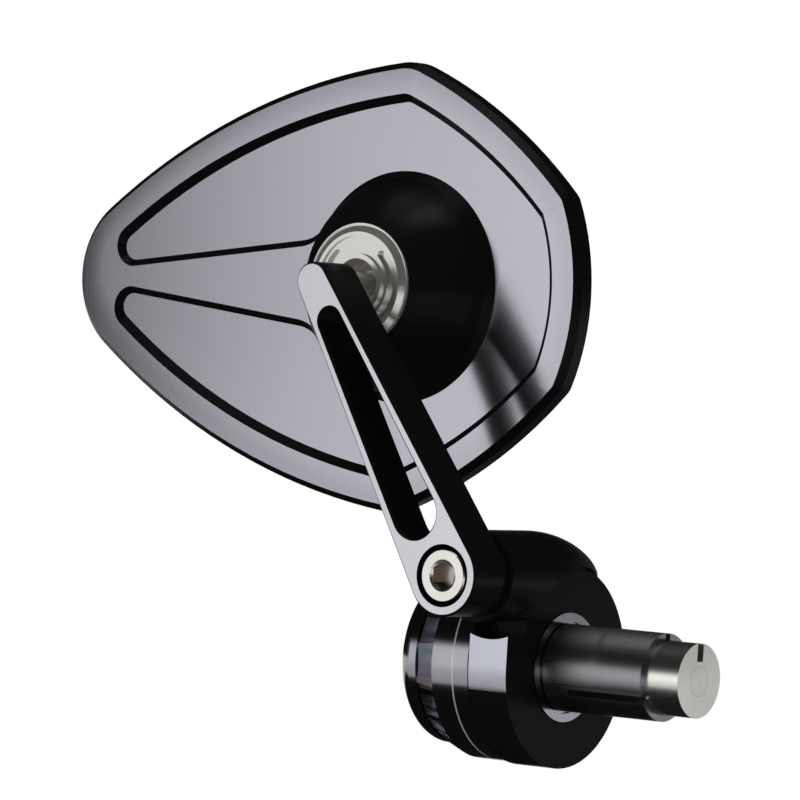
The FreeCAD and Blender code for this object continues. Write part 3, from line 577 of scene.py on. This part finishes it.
def lamp_window_mesh(wide, long, low, thick, rise):
    """A pillow of clear resin that fills the recess."""
    mesh = bpy.data.meshes.new("lamp_window")
    form = lamp_block(wide, long, thick, low)
    bmesh.ops.subdivide_edges(form, edges=form.edges, cuts=5, use_grid_fill=True)
    for vert in form.verts:
        if vert.co.z > low + 0.49 * thick:
            vert.co.z += rise * (1 - (2 * vert.co.x / wide) ** 2) * (1 - (2 * vert.co.y / long) ** 2)
    form.to_mesh(mesh)
    form.free()
    return mesh


# %% Lamps
lamp_low, lamp_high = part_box("signal_lamps")
LAMP_COUNT, LAMP_WIDE, LAMP_LONG, LAMP_HIGH = 8, 2.8 * MM, 3.5 * MM, lamp_high.x - lamp_low.x
LAMP_RIM, LAMP_SUNK = 0.4 * MM, 0.25 * MM
WINDOW_LESS, WINDOW_THICK, WINDOW_RISE = 0.9 * MM, 0.06 * MM, 0.15 * MM
lamp_circle = lamp_high.z - LAMP_WIDE / 2
on_board = facing(Vector((lamp_high.x, 0, 0)), OUTBOARD, UPWARD)
lamp_body = lamp_body_mesh(LAMP_WIDE, LAMP_LONG, LAMP_HIGH, LAMP_RIM, LAMP_SUNK)
lamp_bodies = make_row("lamp_bodies", lamp_body, LAMP_COUNT, lamp_circle,
                       moulded("white_lamp_resin", linear("#E6E4DC"), 0.2, 0.35), on_board)
lamp_window = lamp_window_mesh(LAMP_WIDE - WINDOW_LESS, LAMP_LONG - WINDOW_LESS, LAMP_HIGH - LAMP_SUNK,
                               WINDOW_THICK, WINDOW_RISE)
lamp_windows = make_row("lamp_windows", lamp_window, LAMP_COUNT, lamp_circle,
                        moulded("amber_lamp_window", linear("#E0A848"), 0.2, 0.2), on_board)
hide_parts("signal_lamps")
for piece in (lamp_bodies, lamp_windows):
    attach(piece, "bar_end")

# %% [markdown]
# ## Studio light
# One large soft light stands to the left of the camera, where the flat faces mirror it. It could be
# an area light, but a lit panel may fade towards its ends, as a real soft box does, and that fade is
# what the turned faces show. A weak light overhead models the dome.

# %% Soft box and overhead light
middle = (cad_box[0] + cad_box[1]) / 2
WHITE = (1, 1, 1, 1)
# The box spans these turns and rises in degrees as seen from the part. It fades towards its left end,
# and towards its bottom and top: each fade is given by where it starts and where it ends.
BOX_LEFT, BOX_RIGHT, BOX_LOW, BOX_HIGH, BOX_AWAY, BOX_LIGHT = -43.0, -8.0, -21.0, 14.0, 1.1, 1.28
SIDE_EDGE, SIDE_EDGE_LEVEL, SIDE_SLOPE, SIDE_SLOPE_LEVEL = 0.07, 0.35, 0.3, 0.66
UPRIGHT_FADES, UPRIGHT_LEVEL = ((0.0, 0.42), (1.0, 0.79)), 0.1


def stage_piece(name, points, material, faces=None):
    """A piece of the set. It has one face unless faces are given."""
    mesh = bpy.data.meshes.new(name)
    mesh.from_pydata(points, [], faces or [tuple(range(len(points)))])
    mesh.materials.append(material)
    piece = bpy.data.objects.new(name, mesh)
    scene.collection.objects.link(piece)
    return piece


def direction(turn_deg, rise_deg):
    """The way from the part at a turn and a rise in degrees."""
    turn, rise = math.radians(turn_deg), math.radians(rise_deg)
    return Vector((math.sin(turn) * math.cos(rise), -math.cos(turn) * math.cos(rise), math.sin(rise)))


glow, tree = new_material("soft_box_glow")
panel = add(tree, "ShaderNodeTexCoord").outputs["UV"]
panel = add(tree, "ShaderNodeSeparateXYZ", {"Vector": panel}).outputs
edge = add(tree, "ShaderNodeMapRange", {
    "Value": panel["X"], "From Max": SIDE_EDGE, "To Min": SIDE_EDGE_LEVEL * BOX_LIGHT,
    "To Max": BOX_LIGHT}, interpolation_type="SMOOTHSTEP").outputs[0]
slope = add(tree, "ShaderNodeMapRange", {"Value": panel["X"], "From Max": SIDE_SLOPE,
                                         "To Min": SIDE_SLOPE_LEVEL, "To Max": 1.0}).outputs[0]
level = add(tree, "ShaderNodeMath", {0: edge, 1: slope}, operation="MULTIPLY").outputs[0]
for outer, inner in UPRIGHT_FADES:
    dimmer = add(tree, "ShaderNodeMapRange", {
        "Value": panel["Y"], "From Min": outer, "From Max": inner, "To Min": UPRIGHT_LEVEL,
        "To Max": 1.0}, interpolation_type="SMOOTHSTEP").outputs[0]
    level = add(tree, "ShaderNodeMath", {0: level, 1: dimmer}, operation="MULTIPLY").outputs[0]
finish_material(glow, add(tree, "ShaderNodeEmission", {"Color": WHITE, "Strength": level}))
straight_on = direction((BOX_LEFT + BOX_RIGHT) / 2, 0)
corner_ways = [direction(turn, rise) for turn, rise in ((BOX_LEFT, BOX_LOW), (BOX_RIGHT, BOX_LOW),
                                                        (BOX_RIGHT, BOX_HIGH), (BOX_LEFT, BOX_HIGH))]
soft_box = stage_piece("soft_box", [middle + way * (BOX_AWAY / way.dot(straight_on))
                                    for way in corner_ways], glow)
uv = soft_box.data.uv_layers.new(name="UVMap")
for corner, value in zip(uv.data, ((0, 0), (1, 0), (1, 1), (0, 1))):
    corner.uv = value
soft_box.visible_camera = False

lamp = bpy.data.lights.new("overhead", "AREA")
lamp.shape = "RECTANGLE"
lamp.size, lamp.size_y, lamp.energy = 0.5, 0.3, 1.2
overhead = bpy.data.objects.new("overhead", lamp)
overhead.location = middle + Vector((0.15, -0.1, 1.0))
overhead.rotation_euler = (middle - overhead.location).to_track_quat("-Z", "Y").to_euler()
scene.collection.objects.link(overhead)
print("lights:", soft_box.name, overhead.name)

# %% [markdown]
# ## Dark cloth
# Black cloth round the rest of the set keeps the flanks dark, as a photographer of black metal
# does. It hangs as pieces of a large sphere round the set and over the soft box, with a card under
# the part. The low back is grey, because the glass looks that way, and the top is open, so that
# edges catch the sky. All of it shows only in reflections, so the background stays white.

# %% Cloth and card
CLOTH_AWAY, CLOTH_TOP, TURN_STEP, RISE_STEP = 2.2, 64, 4, 2
FLOOR_DROP, CARD_LIFT = 0.10, 0.002
CARD_CORNERS = ((-0.4, -0.21), (0.3, -0.21), (0.3, 0.3), (-0.4, 0.3))
velvet, tree = new_material("black_velvet")
finish_material(velvet, add(tree, "ShaderNodeBsdfDiffuse", {"Color": linear("#2A2A2A")}))
felt, tree = new_material("grey_felt")
finish_material(felt, add(tree, "ShaderNodeBsdfDiffuse", {"Color": linear("#8A8A8A")}))


def only_in_reflections(piece, through_glass=False):
    """Hides a piece of the set from all but reflections, and from what glass shows unless that is wanted."""
    piece.visible_camera = False
    piece.visible_diffuse = False
    piece.visible_shadow = False
    piece.visible_transmission = through_glass


def hang_cloth(name, first_turn, last_turn, lowest_rise, highest_rise=CLOTH_TOP, material=velvet):
    """A piece of the sphere of cloth, between two turns and two rises in degrees."""
    turns = list(range(first_turn, last_turn + 1, TURN_STEP))
    rises = list(range(lowest_rise, highest_rise + 1, RISE_STEP))
    points = [middle + direction(t, r) * CLOTH_AWAY for r in rises for t in turns]
    wide = len(turns)
    faces = [(r * wide + t, r * wide + t + 1, (r + 1) * wide + t + 1, (r + 1) * wide + t)
             for r in range(len(rises) - 1) for t in range(wide - 1)]
    only_in_reflections(stage_piece(name, points, material, faces))


hang_cloth("cloth_right", -16, 152, -4)
hang_cloth("cloth_back", 152, 236, 16)
hang_cloth("felt_back", 152, 236, -4, 16, felt)
hang_cloth("cloth_left", 236, 324, -4)
hang_cloth("cloth_over", 320, 348, 8)
floor_z = cad_box[0].z - FLOOR_DROP
card = stage_piece("black_card", [Vector((middle.x + x, middle.y + y, floor_z + CARD_LIFT))
                                  for x, y in CARD_CORNERS], velvet)
only_in_reflections(card, through_glass=True)

# %% [markdown]
# ## Floor and white room
# The floor is pale and carries the part's shadow. It fades into the background, which is white to
# the camera, in reflections and through glass. A brighter lamp could make it white too, but it would
# wash out the part, so Light Path tells those rays apart and everything else gets a mild fill.

# %% Floor and room
FLOOR_RADIUS, FLOOR_SIDES = 1.0, 96
FADE_START, FADE_END, FADE_LEAST, ROOM_FILL = 0.3, 0.9, 0.45, 0.35


def shown_white(tree):
    """1 for the rays that show the white background: from the camera, in reflections, through glass."""
    ray = add(tree, "ShaderNodeLightPath").outputs
    seen = add(tree, "ShaderNodeMath", {0: ray["Is Camera Ray"], 1: ray["Is Glossy Ray"]},
               operation="MAXIMUM").outputs[0]
    return add(tree, "ShaderNodeMath", {0: seen, 1: ray["Is Transmission Ray"]},
               operation="MAXIMUM").outputs[0]


pale, tree = new_material("pale_floor")
point = add(tree, "ShaderNodeTexCoord").outputs["Object"]
away = add(tree, "ShaderNodeVectorMath", {0: point}, operation="LENGTH").outputs["Value"]
fade = add(tree, "ShaderNodeMapRange", {"Value": away, "From Min": FADE_START, "From Max": FADE_END,
                                        "To Min": FADE_LEAST, "To Max": 1.0}).outputs[0]
share = add(tree, "ShaderNodeMath", {0: shown_white(tree), 1: fade}, operation="MULTIPLY").outputs[0]
matt = add(tree, "ShaderNodeBsdfDiffuse", {"Color": linear("#F2F2F2")})
white = add(tree, "ShaderNodeEmission", {"Color": WHITE, "Strength": 1.0})
finish_material(pale, add(tree, "ShaderNodeMixShader", {0: share, 1: matt.outputs[0], 2: white.outputs[0]}))
rim = [2 * math.pi * step / FLOOR_SIDES for step in range(FLOOR_SIDES)]
stage_piece("floor", [Vector((math.cos(a) * FLOOR_RADIUS, math.sin(a) * FLOOR_RADIUS, floor_z))
                      for a in rim], pale)

world = bpy.data.worlds.new("white_room")
world.use_nodes = True
tree = world.node_tree
tree.nodes.clear()
level = add(tree, "ShaderNodeMapRange", {"Value": shown_white(tree), "To Min": ROOM_FILL,
                                         "To Max": 1.0}).outputs[0]
sky = add(tree, "ShaderNodeBackground", {"Color": WHITE, "Strength": level})
add(tree, "ShaderNodeOutputWorld", {"Surface": sky.outputs[0]})
scene.world = world
scene.view_settings.view_transform = "Standard"
